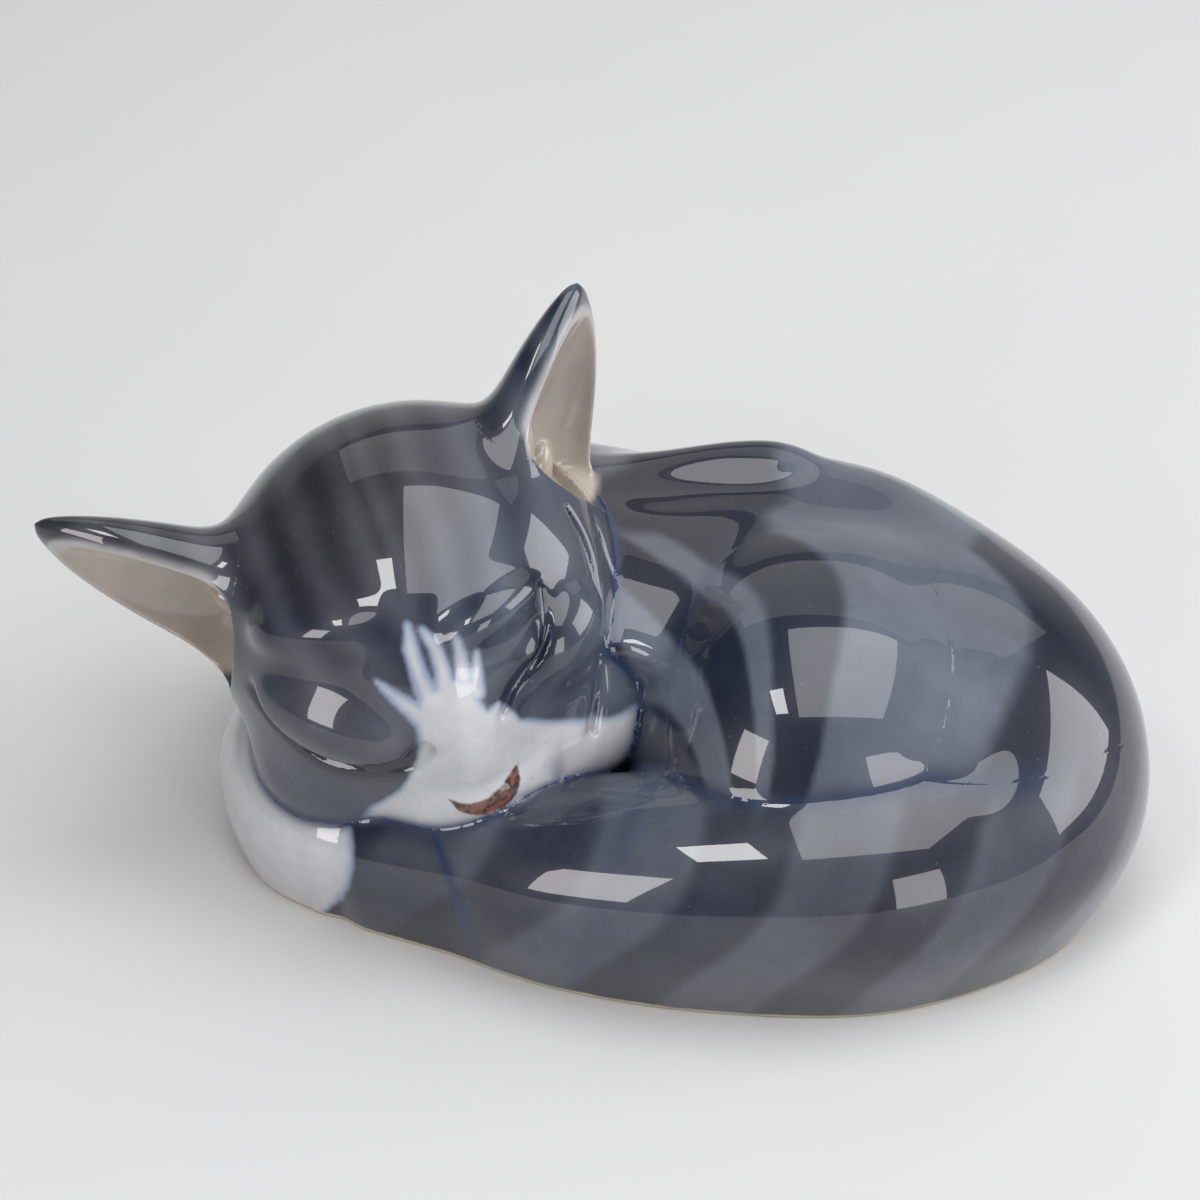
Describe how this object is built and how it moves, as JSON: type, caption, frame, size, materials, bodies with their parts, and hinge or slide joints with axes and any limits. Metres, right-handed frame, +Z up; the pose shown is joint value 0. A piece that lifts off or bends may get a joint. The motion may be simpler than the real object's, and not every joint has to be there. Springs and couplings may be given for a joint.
{
  "type": "ceramic cat figurine",
  "caption": "Glazed ceramic figurine of a cat curled up asleep, tail wrapped to the front, head resting on it and turned to one side; hollow casting with a flat foot.",
  "frame": {"origin": "on the table plane under the middle of the curled body, in the centre of the foot", "axes": "+Z up; +X along the figure from the head to the rump; -Y towards the side with the face, haunch and tail"},
  "size_m": [0.21, 0.1274, 0.1081],
  "materials": {
    "bisque": "unglazed fired clay, matt",
    "grey_glaze": "blue-grey underglaze stripes beneath a clear high-gloss glaze",
    "dark_glaze": "darker blue-grey bands beneath a clear high-gloss glaze",
    "white_glaze": "white body beneath a clear high-gloss glaze",
    "ear_glaze": "blue-grey outside and warm beige inside beneath a clear high-gloss glaze"
  },
  "bodies": {
    "root": {"base_plate": "bisque", "body_shell": "grey_glaze", "haunch": "grey_glaze", "tail": "dark_glaze", "forepaw": "white_glaze", "head_shell": "grey_glaze", "left_ear": "ear_glaze", "right_ear": "ear_glaze"}
  },
  "joints": []
}
